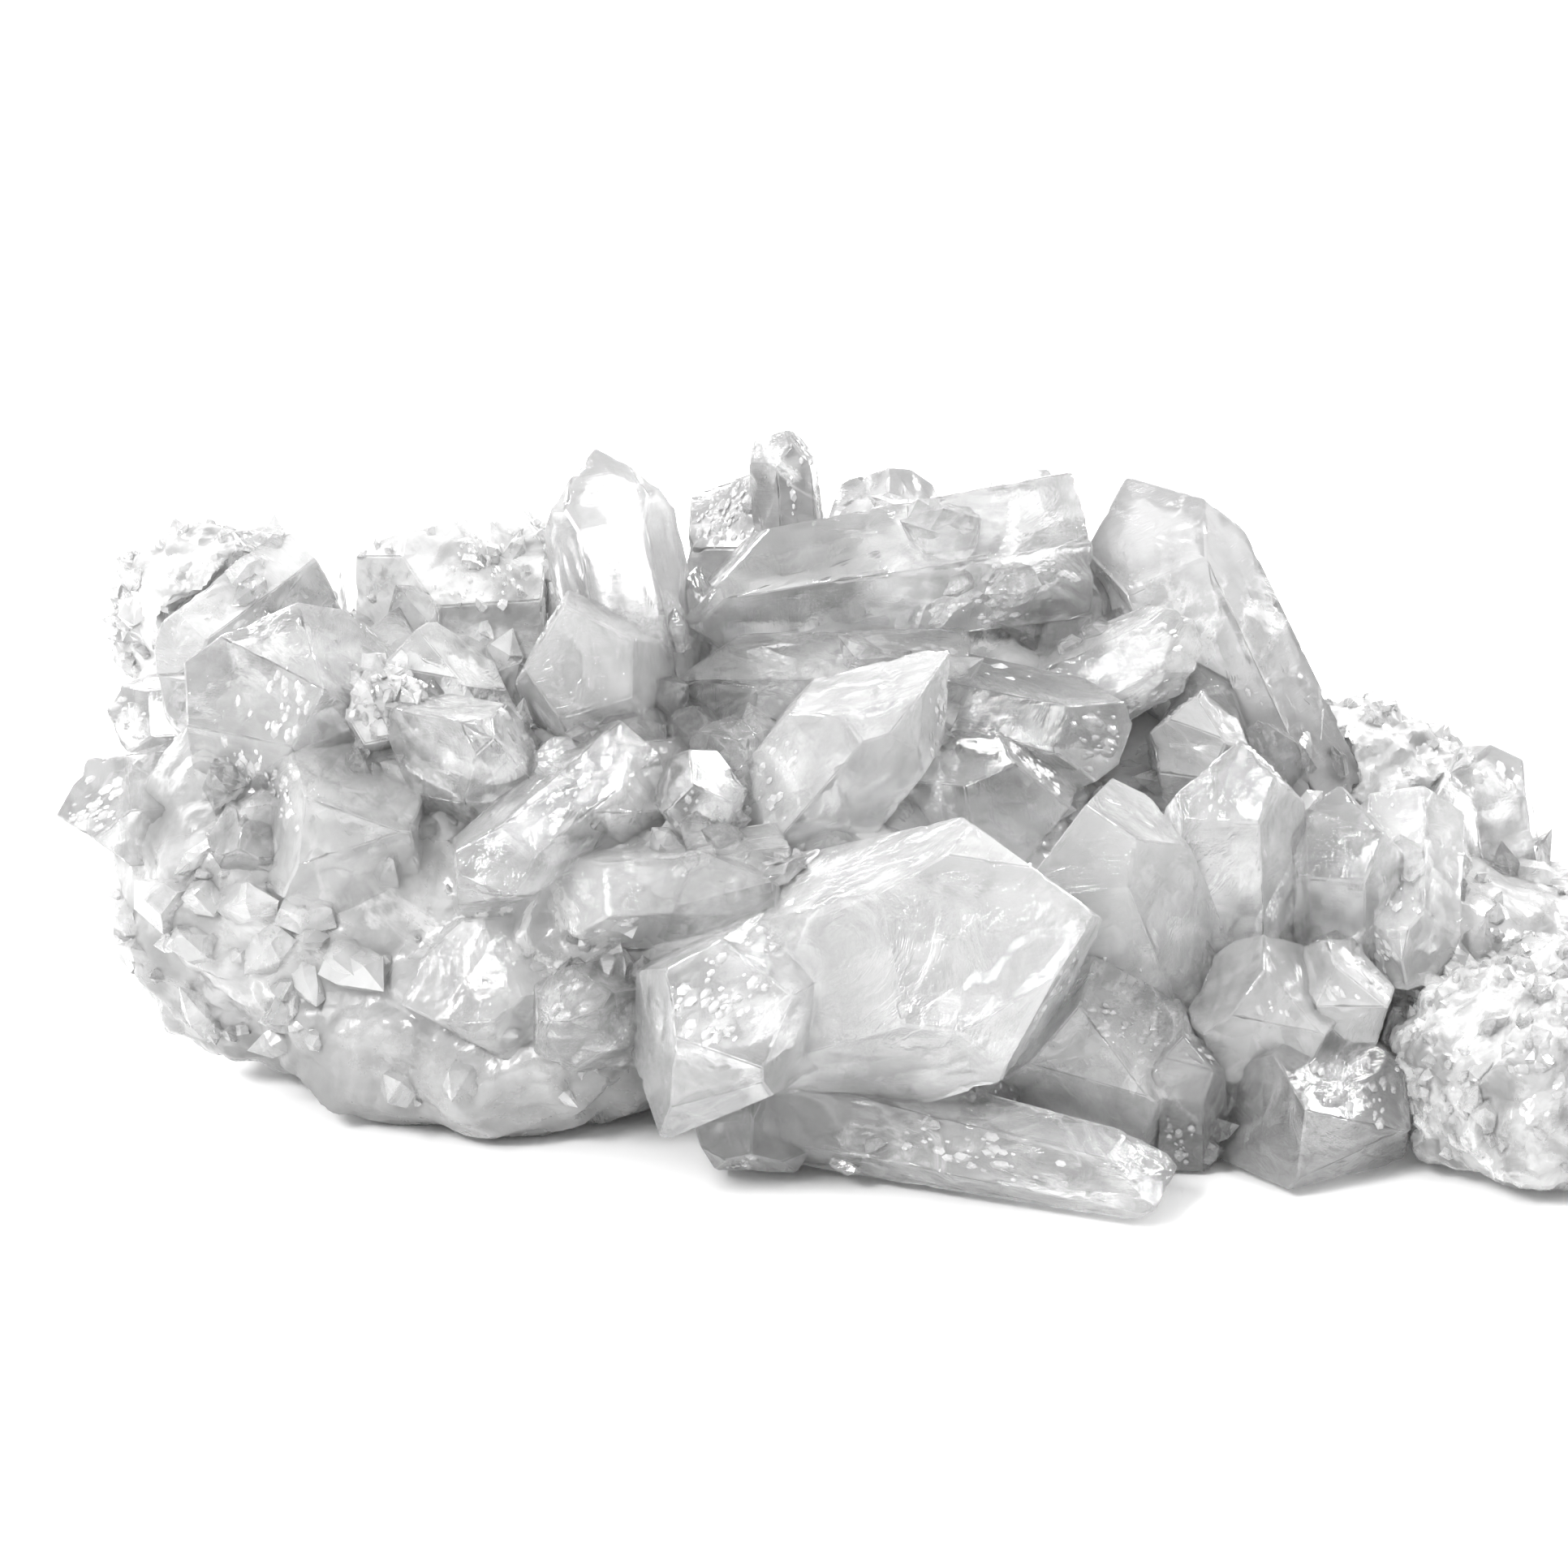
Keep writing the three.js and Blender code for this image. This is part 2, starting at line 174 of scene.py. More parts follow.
# a crystal's long axis: prism faces lean in 2 degrees to it, and end faces stand 51.8 degrees off it.
# Every two faces give a rough axis, least squares over the faces that fit it makes it exact, and the
# axis that fits most area wins
def longAxis(planes):
    normal, area = planes[:, :3], planes[:, 4]
    prismLean, endLean = math.sin(math.radians(2)), math.cos(math.radians(51.8))
    first, second = np.triu_indices(len(normal), 1)
    tries = np.cross(normal[first], normal[second])
    tries = unit(tries[np.linalg.norm(tries, axis=1) > 0.3])
    best, bestFit = None, -1.0
    for rough in np.concatenate([tries, -tries]):
        lean = normal @ rough
        prism, end = abs(lean - prismLean) < 0.09, abs(lean - endLean) < 0.09
        used = prism | end
        if used.sum() < 3:
            continue
        target = np.where(prism, prismLean, endLean)[used]
        axis = unit(np.linalg.lstsq(normal[used], target, rcond=None)[0])
        lean = normal @ axis
        fit = area[(abs(lean - prismLean) < 0.006) | (abs(lean - endLean) < 0.006)].sum()
        if fit > bestFit:
            best, bestFit = axis, fit
    return best


# corners of a convex body: every three planes meet in a point, and the points behind all planes stay
def bodyCorners(normal, offset):
    triples = np.array(np.meshgrid(*[np.arange(len(normal))] * 3)).reshape(3, -1).T
    triples = triples[(triples[:, 0] < triples[:, 1]) & (triples[:, 1] < triples[:, 2])]
    system = normal[triples]
    solvable = abs(np.linalg.det(system)) > 1e-4
    points = np.linalg.solve(system[solvable], offset[triples[solvable]][..., None])[..., 0]
    return points[(points @ normal.T - offset).max(1) < 1e-3 * mm]


# a face's outline: the corners on its plane in order of their angle round its middle, doubles dropped
def faceOutline(corners, normal, offset):
    on = corners[abs(corners @ normal - offset) < 2e-3 * mm]
    if len(on) < 3:
        return on
    side = unit(np.cross(normal, [0.3, 0.5, 0.81]))
    away = on - on.mean(0)
    on = on[np.argsort(np.arctan2(away @ np.cross(normal, side), away @ side))]
    return on[np.linalg.norm(on - np.roll(on, 1, 0), axis=1) > 0.02 * mm]


crystalLook = {
    "rootSink": 3.5 * mm,  # how far a crystal's root runs on into its neighbours
    "floorGap": 0.6 * mm,
    "roundPlanes": 10,
    "spacing": 0.6 * mm,  # between grid points
    "mostPerSide": 44,
    "mostRings": 26,
    "edgeBand": 0.40 * mm,  # width of the worn strip along each edge
    "edgeWear": 0.15 * mm,
    "chipDepth": 0.8 * mm,
    "chipWidth": 1.4 * mm,
    "lineHeight": 0.09 * mm,  # cross lines on the prism faces
    "stepHeight": 0.26 * mm,  # growth steps
    "stepCount": 7,
    "waveHeight": 0.26 * mm,
    "pitHeight": 0.20 * mm,
    # noise cells for each millimetre
    "lineScale": 0.6, "stepScale": 0.11, "waveScale": 0.16, "pitScale": 0.7, "chipScale": 0.45,
    "wearScale": 0.8,
    "mergeGap": 0.02 * mm,
    "sharpAngle": 24,
}


# a crystal's body: its own outer faces, then planes that touch the CAD node all round the axis and at
# the tip, for faces that its neighbours cut away. The root is moved back along the axis, above the floor
def crystalBody(name, look):
    triangles = nodeTriangles(name)
    points = triangles.reshape(-1, 3)
    planes = outerPlanes(triangles)
    axis = longAxis(planes)
    own = planes[planes[:, :3] @ axis > -0.25]
    side = unit(np.cross(axis, own[abs(own[:, :3] @ axis).argmin(), :3]))
    angle = np.arange(look["roundPlanes"]) * 2 * math.pi / look["roundPlanes"] + 0.2
    touching = np.cos(angle)[:, None] * side + np.sin(angle)[:, None] * np.cross(axis, side)
    touching = np.concatenate([touching, [axis]])
    root = look["rootSink"] - (points @ axis).min()
    normal = np.concatenate([own[:, :3], touching, [-axis], [[0, 0, -1.0]]])
    reach = (points @ touching.T).max(0) + 0.01 * mm
    offset = np.concatenate([own[:, 3], reach, [root], [-look["floorGap"]]])
    return {
        "normal": normal, "offset": offset, "axis": axis, "own": len(own),
        "corners": bodyCorners(normal, offset), "seed": float(sum(map(ord, name)) % 97),
    }


# a face as a grid: s runs from its middle to its rim and t round the rim, and
# point = middle + s (rim - middle). Waves, steps, cross lines and pits raise it along its normal and
# fade out before the rim, and the rim is drawn in to the body's middle by wear and by chips that fade
# inwards
def crystalFace(outline, normal, body, seed, look):
    following = np.roll(outline, -1, 0)
    perSide = np.ceil(np.round(np.linalg.norm(following - outline, axis=1) / look["spacing"], 3))
    perSide = np.clip(perSide.astype(int), 2, look["mostPerSide"])
    rim = np.concatenate([
        a + (b - a) * np.linspace(0, 1, n, endpoint=False)[:, None]
        for a, b, n in zip(outline, following, perSide)
    ])
    middle = outline.mean(0)
    reach = np.linalg.norm(rim - middle, axis=1).mean()
    rings = int(np.clip(reach / look["spacing"], 3, look["mostRings"]))
    band = min(0.3, look["edgeBand"] / reach)
    s = np.concatenate([np.linspace(0, 1 - band, rings), [1 - band / 2, 1.0]])
    points = middle + s[:, None, None] * (rim - middle)
    fade = stepUp(1 - s, 0, max(3 * band, 0.12))[:, None] ** 2
    at = points / mm
    relief = look["waveHeight"] * 2 * (layeredNoise(at * look["waveScale"], 3, seed) - 0.45)
    level = layeredNoise(at * look["stepScale"], 3, seed + 5) * look["stepCount"]
    part = level - np.floor(level)
    relief += look["stepHeight"] * (stepUp(part, 0.8, 1) - part)
    if abs(normal @ body["axis"]) < 0.2:
        along = at @ body["axis"]
        bands = along * look["lineScale"]
        bands = np.stack([bands, np.full_like(along, seed), np.zeros_like(along)], -1)
        relief += look["lineHeight"] * 2 * (layeredNoise(bands, 2, seed + 9) - 0.4)
    relief -= look["pitHeight"] * stepUp(layeredNoise(at * look["pitScale"], 2, seed + 3), 0.56, 0.66)
    points = points + normal * (relief * fade)[..., None]
    inward = unit(body["corners"].mean(0) - rim)
    chips = look["chipDepth"] * stepUp(layeredNoise(rim / mm * look["chipScale"], 3, 6.0), 0.5, 0.72)
    near = stepUp(1 - (1 - s) * reach / look["chipWidth"], 0, 1)[:, None] ** 2
    points += inward * (chips * near)[..., None]
    wear = look["edgeWear"] * (0.5 + layeredNoise(rim / mm * look["wearScale"], 3, 2.0))
    points[-1] += inward * wear[:, None]
    return points


# a ring grid's faces: a fan of triangles round the middle point, then quads from ring to ring
def ringFaces(around, rings, start):
    i = np.arange(around)
    j = (i + 1) % around
    fan = np.stack([np.full(around, start), start + 1 + i, start + 1 + j], 1).tolist()
    r = np.arange(rings - 1)[:, None] * around + start + 1
    quads = np.stack([r + i, r + around + i, r + around + j, r + j], -1)
    return fan + quads.reshape(-1, 4).tolist()


# a crystal: every face of its body is a ring grid, and the grids are joined along their rims.
# Its growth map holds, in mm, the place across the axis and the place along it
def crystalPiece(name, body, look):
    points, faces, growth, start = [], [], [], 0
    for i, (n, d) in enumerate(zip(body["normal"], body["offset"])):
        outline = faceOutline(body["corners"], n, d)
        if len(outline) < 3:
            continue
        grid = crystalFace(outline, n, body, body["seed"] + i, look)
        block = np.concatenate([grid[0, :1], grid[1:].reshape(-1, 3)])
        across = unit(np.cross(n, body["axis"]) + 1e-9)
        points.append(block)
        growth.append(np.stack([block @ across, block @ body["axis"]], 1) / mm)
        faces += ringFaces(grid.shape[1], grid.shape[0] - 1, start)
        start += len(block)
    piece = meshObject(name + "_body", np.concatenate(points), faces)
    writeMap(piece, "growth", np.concatenate(growth))
    mergeClose(piece, look["mergeGap"])
    sharpen(piece, look["sharpAngle"])
    return piece


lumpLook = {
    "quartz_mass": {"voxel": 0.66 * mm, "wave": 2.2 * mm, "pyramid": 1.5 * mm, "grain": 0.30 * mm},
    "grainy": {"voxel": 0.50 * mm, "wave": 2.4 * mm, "pyramid": 2.6 * mm, "grain": 0.80 * mm},
    "pyramidsPerMm": 0.24,
    "grainsPerMm": 0.8,
    "rise": 4 * mm,  # the flat underside stays flat, and the relief is full this high above it
}


# cell pyramids: 1 at a scattered point of each cell, falling evenly with the largest of three
# turned distances
def cellPyramids(points, seed):
    cell = np.floor(points)
    best = np.full(points.shape[:-1], 9.0)
    hashes = np.array([[127.1, 269.5, 419.2], [311.7, 183.3, 371.9], [74.7, 246.1, 127.3]])
    turn = np.array([[0.8, -0.6, 0.1], [0.5, 0.8, -0.3], [-0.2, 0.4, 0.9]])
    for step in np.ndindex(3, 3, 3):
        at = cell + np.array(step) - 1
        away = points - at - (np.sin(at @ hashes + seed) * 43758.5453) % 1
        best = np.minimum(best, abs(away @ turn).max(-1))
    return 1 - np.minimum(best, 1)


# a lump: its CAD solid divided evenly, then raised along its normals by waves, cell pyramids and grains
def lumpPiece(name, look):
    own = look.get(name, look["grainy"])
    triangles = nodeTriangles(name)
    corners = np.arange(len(triangles) * 3).reshape(-1, 3)
    rough = meshObject(name + "_rough", triangles.reshape(-1, 3), corners)
    mergeClose(rough, 0.001 * mm)
    remesh = rough.modifiers.new("even", "REMESH")
    remesh.mode = "VOXEL"
    remesh.voxel_size = own["voxel"]
    divided = rough.evaluated_get(bpy.context.evaluated_depsgraph_get())
    even = bpy.data.meshes.new_from_object(divided)
    bpy.data.objects.remove(rough)
    even.name = name + "_body"
    piece = bpy.data.objects.new(name + "_body", even)
    bpy.context.scene.collection.objects.link(piece)
    points, normals = pointsOf(piece)
    at = points / mm
    seed = float(len(name))
    height = own["wave"] * 2 * (layeredNoise(at * 0.11, 3, seed) - 0.45)
    height += own["pyramid"] * (cellPyramids(at * look["pyramidsPerMm"], seed) - 0.5)
    height += own["grain"] * (cellPyramids(at * look["grainsPerMm"], seed + 4) - 0.5)
    points = points + normals * (height * stepUp(points[:, 2], 0, look["rise"]))[:, None]
    points[:, 2] = np.maximum(points[:, 2], 0)
    even.vertices.foreach_set("co", points.ravel())
    sharpen(piece, 32)
    return piece


# a piece's points and the normals at them, as arrays
def pointsOf(piece):
    count = len(piece.data.vertices)
    points, normals = np.zeros(count * 3), np.zeros(count * 3)
    piece.data.vertices.foreach_get("co", points)
    piece.data.vertex_normals.foreach_get("vector", normals)
    return points.reshape(-1, 3), normals.reshape(-1, 3)


smallCrystalLook = {
    "massCount": 900, "lumpCount": 180, "whiteCount": 110, "perCrystal": 9,
    "shortest": 1.4 * mm, "longest": 7.0 * mm, "longestOnLump": 3.2 * mm,
    "slimness": 0.30,  # half width as a share of length
    "uneven": 0.14,  # how much the six sides differ
    "sunk": 0.38,
    "lean": 0.6,
    "lowest": 3.5 * mm,
    "floorGap": 0.5 * mm,
}


# small crystals in one array: six-sided prism, six end faces to an off-centre tip, flat root, and
# point = place + length (x across + y upright + z out), with x and y scaled unevenly from side to side
def smallCrystals(name, places, outwards, lengths, look):
    count = len(places)
    angle = np.arange(6) * math.pi / 3
    ring = np.stack([np.cos(angle), np.sin(angle)], 1)
    ring = ring * (1 + look["uneven"] * rng.normal(size=(count, 6, 1)))
    shoulder = 0.55 + 0.12 * rng.normal(size=(count, 6, 1))
    root = np.concatenate([ring, np.zeros((count, 6, 1))], -1)
    top = np.concatenate([ring * 0.94, np.clip(shoulder, 0.3, 0.8)], -1)
    tip = np.concatenate([rng.uniform(-0.3, 0.3, (count, 1, 2)), np.ones((count, 1, 1))], -1)
    local = np.concatenate([root, top, tip], 1) - [0, 0, look["sunk"]]
    local[..., :2] *= (look["slimness"] * rng.uniform(0.8, 1.6, count))[:, None, None]
    local *= lengths[:, None, None]
    across = unit(np.cross(outwards, rng.normal(size=(count, 3))))
    basis = np.stack([across, np.cross(outwards, across), outwards], 1)
    placed = (places[:, None] + np.einsum("kpi,kij->kpj", local, basis)).reshape(-1, 3)
    placed[:, 2] = np.maximum(placed[:, 2], look["floorGap"])
    i = np.arange(6)
    j = (i + 1) % 6
    sides = np.concatenate([np.stack([i, j, j + 6], 1), np.stack([i, j + 6, i + 6], 1)])
    ends = np.stack([i + 6, j + 6, np.full(6, 12)], 1)
    base = np.stack([np.zeros(4, int), i[2:], i[1:5]], 1)
    faces = np.concatenate([sides, ends, base])[None] + 13 * np.arange(count)[:, None, None]
    return meshObject(name, placed, faces.reshape(-1, 3), 20)


# small crystals on a lump: on scattered points of it, each turned to the normal with a random lean.
# Their lengths run from shortest to longest, with many short ones and few long ones
def lumpCrystals(name, base, count, longest, look):
    points, normals = pointsOf(base)
    allowed = np.flatnonzero((points[:, 2] > look["lowest"]) & (normals[:, 2] > -0.35))
    patches = layeredNoise(points[allowed] / mm * 0.12, 3, 8.0)
    share = stepUp(patches, 0.36, 0.56) + 0.03
    chosen = rng.choice(allowed, count, replace=False, p=share / share.sum())
    outwards = unit(normals[chosen] + look["lean"] * rng.normal(size=(count, 3)))
    lengths = look["shortest"] + (longest - look["shortest"]) * rng.random(count) ** 2.4
    return smallCrystals(name, points[chosen], outwards, lengths, look)


# side crystals: on the prism faces of every crystal near its root, each leaning between the crystal's
# axis and the face's normal
def sideCrystals(name, bodies, look):
    places, outwards, lengths = [], [], []
    for body in bodies:
        flank = np.flatnonzero(abs(body["normal"][:body["own"]] @ body["axis"]) < 0.2)
        if not len(flank):
            continue
        pick = rng.choice(flank, look["perCrystal"])
        normal, offset = body["normal"][pick], body["offset"][pick]
        along = body["corners"] @ body["axis"]
        middle = body["corners"].mean(0)
        width = np.ptp(body["corners"] @ unit(np.cross(body["axis"], [0.2, 0.1, 1.0])))
        up = along.min() + np.ptp(along) * rng.uniform(0.08, 0.5, look["perCrystal"])
        foot = middle + body["axis"] * (up - middle @ body["axis"])[:, None]
        aside = width * rng.uniform(-0.2, 0.2, look["perCrystal"])
        foot += np.cross(body["axis"], normal) * aside[:, None]
        places.append(foot + normal * (offset - (foot * normal).sum(1))[:, None])
        lean = rng.uniform(0.25, 1.0, look["perCrystal"])[:, None]
        outwards.append(unit(body["axis"] + normal * lean + 0.3 * rng.normal(size=normal.shape)))
        lengths.append(width * rng.uniform(0.18, 0.55, look["perCrystal"]))
    joined = [np.concatenate(part) for part in (places, outwards, lengths)]
    return smallCrystals(name, *joined, look)


flakeLook = {
    "patches": 3, "perPatch": 56, "spread": 2.3 * mm, "small": 0.14 * mm, "large": 0.60 * mm,
    "stretch": 1.7, "height": 0.35, "edge": 0.5 * mm,
}


# flakes: clusters of low six-sided pyramids, all stretched along the crystal's axis, scattered in a
# bell round a random place of a face and kept where they are well inside its rim
def faceFlakes(name, bodies, look):
    corner = np.arange(6) * math.pi / 3
    ring = np.stack([look["stretch"] * np.cos(corner), np.sin(corner), np.full(6, -0.3)], 1)
    shape = np.concatenate([ring, [[0.35, 0.1, look["height"]]]])
    placed = []
    for body in bodies:
        for _ in range(look["patches"]):
            pick = rng.integers(body["own"])
            normal, offset = body["normal"][pick], body["offset"][pick]
            outline = faceOutline(body["corners"], normal, offset)
            if len(outline) < 3:
                continue
            centre = rng.dirichlet(np.ones(len(outline))) @ outline
            right = unit(np.cross(normal, body["axis"]) + 1e-6)
            up = np.cross(right, normal)
            away = rng.normal(size=(2, look["perPatch"], 1))
            spot = centre + look["spread"] * (away[0] * right + 1.5 * away[1] * up)
            room = body["offset"] - look["edge"] - spot @ body["normal"].T
            room[:, pick] = 1
            spot = spot[room.min(1) > 0]
            size = look["small"] + (look["large"] - look["small"]) * rng.random(len(spot)) ** 2
            tilt = unit(normal + 0.12 * rng.normal(size=(len(spot), 3)))
            alongs = unit(up - tilt * (tilt @ up)[:, None])
            basis = np.stack([alongs, np.cross(tilt, alongs), tilt], 1)
            placed.append(spot[:, None] + np.einsum("pi,kij->kpj", shape, basis) * size[:, None, None])
    placed = np.concatenate(placed)
    i = np.arange(6)
    cone = np.stack([i, (i + 1) % 6, np.full(6, 6)], 1)
    base = np.stack([np.zeros(4, int), i[2:], i[1:5]], 1)
    faces = np.concatenate([cone, base])[None] + 7 * np.arange(len(placed))[:, None, None]
    return meshObject(name, placed.reshape(-1, 3), faces.reshape(-1, 3), 10)


veilLook = {
    "inClear": 3, "inMilky": 1, "rings": 10, "around": 32,
    "thickness": 0.05 * mm, "reach": 0.46, "curl": 0.2,
}


# a veil is a thin lens: r and angle on a disc with an uneven rim, curled by noise, its upper and
# lower sheet meeting at the rim, and drawn in wherever it would leave 0.86 of the crystal
def veilPoints(body, look):
    middle = body["corners"].mean(0)
    size = np.ptp((body["corners"] - middle) @ unit(rng.normal(size=3)))
    sideA = unit(rng.normal(size=3))
    sideB = unit(np.cross(sideA, rng.normal(size=3)))
    r = np.linspace(0, 1, look["rings"])[:, None]
    angle = np.linspace(0, 2 * math.pi, look["around"], endpoint=False)[None]
    round3 = np.stack([2 * np.cos(angle), 2 * np.sin(angle), 0 * angle + rng.uniform(0, 90)], -1)
    wide = r * (0.55 + 0.7 * noise3(round3))
    flat = np.stack([wide * np.cos(angle), 0.7 * wide * np.sin(angle), 0 * wide], -1)
    lift = look["curl"] * layeredNoise(flat * 2.5 + rng.uniform(0, 50), 4)
    centre = middle + unit(rng.normal(size=3)) * size * 0.16
    out = np.cross(sideA, sideB)
    curled = flat @ np.stack([sideA, sideB, out]) + lift[..., None] * out
    place = centre + size * look["reach"] * curled
    thick = out * look["thickness"] * (1 - r**2)[..., None]
    sheets = np.stack([place + thick, place - thick])
    shell = 0.86 * (body["offset"] - body["normal"] @ middle)
    outside = ((sheets - middle) @ body["normal"].T / shell).max(-1)
    return middle + (sheets - middle) / np.maximum(outside, 1)[..., None]


# both sheets of a veil share the upper one's rim, and the lower one is turned over
def veilFaces(rings, around, start):
    lower = start + 1 + rings * around
    i = np.arange(around)
    j = (i + 1) % around
    lastInner = lower + 1 + (rings - 2) * around
    rim = start + 1 + (rings - 1) * around
    seam = np.stack([lastInner + i, rim + i, rim + j, lastInner + j], 1).tolist()
    under = ringFaces(around, rings - 1, lower) + seam
    return ringFaces(around, rings, start) + [face[::-1] for face in under]


# the veils of all the crystals in one mesh
def veilPiece(name, bodies, perCrystal, look):
    points, faces, start = [], [], 0
    for body in bodies:
        for _ in range(perCrystal):
            upper, lower = veilPoints(body, look)
            block = np.concatenate([
                upper[0, :1], upper[1:].reshape(-1, 3), lower[0, :1], lower[1:-1].reshape(-1, 3)])
            points.append(block)
            faces += veilFaces(look["rings"] - 1, look["around"], start)
            start += len(block)
    return meshObject(name, np.concatenate(points), faces, 60)


# a node with its settings, and a link or a value for each socket
def addNode(tree, kind, settings={}, sockets={}):
    node = tree.nodes.new(kind)
    for key, value in settings.items():
        setattr(node, key, value)
    for key, value in sockets.items():
        if isinstance(value, bpy.types.NodeSocket):
            tree.links.new(value, node.inputs[key])
        else:
            node.inputs[key].default_value = value
    return node


# an empty node group with named inputs and one output
def startGroup(name, inputs, output):
    group = bpy.data.node_groups.new(name, "ShaderNodeTree")
    number = "NodeSocketFloat"
    for label, value in inputs.items():
        group.interface.new_socket(label, in_out="INPUT", socket_type=number).default_value = value
    group.interface.new_socket(output, in_out="OUTPUT", socket_type=number)
    given, made = group.nodes.new("NodeGroupInput"), group.nodes.new("NodeGroupOutput")
    return group, given.outputs, made.inputs[0]


def maths(tree, operation, a, b=0.0, clamp=False):
    node = addNode(tree, "ShaderNodeMath", {"operation": operation, "use_clamp": clamp}, {0: a, 1: b})
    return node.outputs[0]


# 0 below low, 1 above high, and a soft rise between them
def ramp(tree, value, low, high):
    return addNode(tree, "ShaderNodeMapRange", {"interpolation_type": "SMOOTHSTEP"}, {
        "Value": value, "From Min": low, "From Max": high}).outputs[0]


def noiseNode(tree, place, scale, detail, roughness=0.5, distortion=0.0):
    return addNode(tree, "ShaderNodeTexNoise", {}, {
        "Vector": place, "Scale": scale, "Detail": detail, "Roughness": roughness,
        "Distortion": distortion}).outputs["Fac"]


# clouds: soft patches where quartz is milky or frosted
def cloudGroup():
    group, given, out = startGroup("quartzClouds", {"Scale": 120.0, "Start": 0.45, "End": 0.7}, "Mask")
    place = addNode(group, "ShaderNodeTexCoord").outputs["Object"]
    soft = noiseNode(group, place, given["Scale"], 6.0, 0.62, 0.6)
    group.links.new(ramp(group, soft, given["Start"], given["End"]), out)
    return group


# wisps: thin bright threads where a warped noise crosses its middle, kept only in patches
def wispGroup():
    group, given, out = startGroup("quartzWisps", {"Scale": 75.0, "Thinness": 16.0}, "Mask")
    place = addNode(group, "ShaderNodeTexCoord").outputs["Object"]
    warped = noiseNode(group, place, given["Scale"], 5.0, 0.6, 1.6)
    away = maths(group, "ABSOLUTE", maths(group, "SUBTRACT", warped, 0.5))
    thread = maths(group, "SUBTRACT", 1.0, maths(group, "MULTIPLY", away, given["Thinness"]), True)
    where = ramp(group, noiseNode(group, place, 55.0, 3.0), 0.46, 0.62)
    group.links.new(maths(group, "MULTIPLY", thread, where), out)
    return group


# flecks: specks, brightest at their middles, scattered in patches
def fleckGroup():
    inputs = {"Scale": 900.0, "Size": 0.22, "Patches": 0.5}
    group, given, out = startGroup("quartzFlecks", inputs, "Mask")
    place = addNode(group, "ShaderNodeTexCoord").outputs["Object"]
    cells = addNode(group, "ShaderNodeTexVoronoi", {}, {"Vector": place, "Scale": given["Scale"]})
    away = maths(group, "DIVIDE", cells.outputs["Distance"], given["Size"])
    speck = maths(group, "SUBTRACT", 1.0, away, True)
    where = ramp(group, noiseNode(group, place, 160.0, 4.0), given["Patches"], 0.75)
    group.links.new(maths(group, "MULTIPLY", speck, where), out)
    return group


# growth lines: fine bands across the crystal, read from its growth map and broken up by noise
def growthLineGroup():
    group, given, out = startGroup("growthLines", {"Spacing": 2.6, "Break Up": 0.6}, "Height")
    place = addNode(group, "ShaderNodeUVMap", {"uv_map": "growth"}).outputs[0]
    stretched = addNode(group, "ShaderNodeMapping", {}, {"Vector": place, "Scale": (0.12, 1.0, 1.0)})
    lines = noiseNode(group, stretched.outputs[0], given["Spacing"], 5.0, 0.7)
    where = ramp(group, noiseNode(group, place, 0.22, 3.0), 0.35, 0.7)
    kept = maths(group, "SUBTRACT", 1.0, maths(group, "MULTIPLY", given["Break Up"], where))
    group.links.new(maths(group, "MULTIPLY", lines, kept), out)
    return group


# grain: the broken, sugary surface
def grainGroup():
    group, given, out = startGroup("quartzGrain", {"Scale": 700.0}, "Height")
    place = addNode(group, "ShaderNodeTexCoord").outputs["Object"]
    cells = addNode(group, "ShaderNodeTexVoronoi", {"distance": "CHEBYCHEV"}, {
        "Vector": place, "Scale": given["Scale"]})
    group.links.new(maths(group, "ADD", cells.outputs["Distance"], noiseNode(
        group, place, given["Scale"], 5.0)), out)
    return group


clouds, wisps, flecks = cloudGroup(), wispGroup(), fleckGroup()
growthLines, grain = growthLineGroup(), grainGroup()


def placeGroup(tree, group, values):
    return addNode(tree, "ShaderNodeGroup", {"node_tree": group}, values).outputs[0]


# a grey that runs from the first tone to the second as the mask goes from 0 to 1
def blendGrey(tree, mask, first, second):
    mix = addNode(tree, "ShaderNodeMix", {"data_type": "RGBA"}, {0: mask})
    mix.inputs[6].default_value = (first, first, first, 1)
    mix.inputs[7].default_value = (second, second, second, 1)
    return mix.outputs[2]


def blendValue(tree, mask, first, second):
    return addNode(tree, "ShaderNodeMapRange", {}, {
        "Value": mask, "To Min": first, "To Max": second}).outputs[0]


def greyOf(tree, value):
    return addNode(tree, "ShaderNodeCombineColor", {}, {0: value, 1: value, 2: value}).outputs[0]


